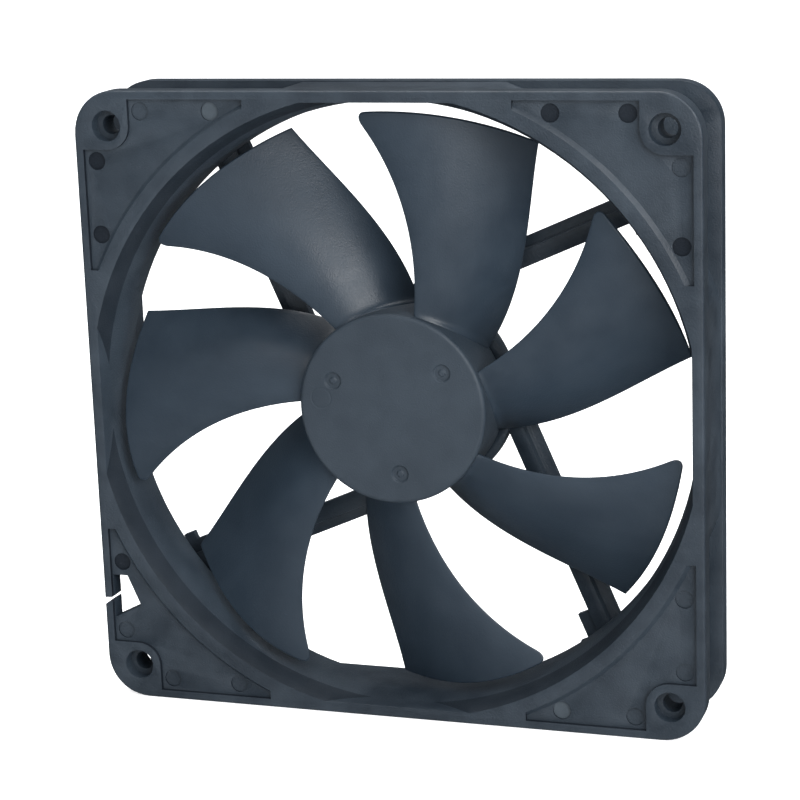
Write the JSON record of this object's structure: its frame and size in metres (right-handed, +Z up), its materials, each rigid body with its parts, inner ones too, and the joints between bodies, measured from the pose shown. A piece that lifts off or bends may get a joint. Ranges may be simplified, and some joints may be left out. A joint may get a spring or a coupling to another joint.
{
  "type": "computer case fan",
  "caption": "Square axial cooling fan for a computer case: moulded frame with corner screw holes, tangential rear struts and a swept-blade impeller on an external-rotor motor.",
  "frame": {"origin": "centre of the square frame: on the spin axis, halfway between the front and the rear face", "axes": "+Z up, with the fan standing on its lower edge; +Y along the spin axis, out of the rear face with the struts, the way the air goes; +X to the right seen from the front"},
  "size_m": [0.14, 0.025, 0.14],
  "materials": {
    "frame_plastic": "fine matt moulded black thermoplastic",
    "impeller_plastic": "smoother satin moulded black thermoplastic",
    "zinc_steel": "drawn and zinc plated steel",
    "magnet": "bonded ferrite, dull dark brown-grey",
    "brass": "turned brass",
    "shaft_steel": "ground and polished steel",
    "clip_nylon": "natural nylon",
    "seal_rubber": "oil resistant rubber",
    "sintered_bronze": "oil filled sintered bronze",
    "cap_plastic": "moulded black plastic",
    "core_steel": "stacked electrical steel sheets",
    "insulator_plastic": "red-brown moulded bobbin plastic",
    "copper_wire": "enamelled copper wire",
    "tinned_metal": "tinned and soldered metal",
    "board_laminate": "green coated glass fibre laminate",
    "chip_plastic": "black moulded packages",
    "capacitor_ceramic": "tan ceramic",
    "label_film": "plain silver-grey label film with nothing printed"
  },
  "bodies": {
    "frame": {"frame": "frame_plastic", "bearing_tube": "brass", "oil_seal_ring": "seal_rubber", "sleeve_bearing": "sintered_bronze", "thrust_pad": "clip_nylon", "end_cap": "cap_plastic", "stator_core": "core_steel", "insulator_front": "insulator_plastic", "insulator_rear": "insulator_plastic", "coil_1": "copper_wire", "coil_2": "copper_wire", "coil_3": "copper_wire", "coil_4": "copper_wire", "terminal_pins": "tinned_metal", "circuit_board": "board_laminate", "hall_sensor": "chip_plastic", "driver_ic": "chip_plastic", "resistors": "chip_plastic", "capacitors": "capacitor_ceramic", "lead_pads": "tinned_metal", "rear_label": "label_film"},
    "rotor": {"impeller": "impeller_plastic", "rotor_yoke": "zinc_steel", "ring_magnet": "magnet", "shaft_bush": "brass", "shaft": "shaft_steel", "retaining_clip": "clip_nylon"}
  },
  "joints": [
    {"name": "impeller_spin", "type": "hinge", "parent": "frame", "child": "rotor", "pos_m": [0, 0, 0], "axis": [0, -1, 0], "continuous": true}
  ]
}
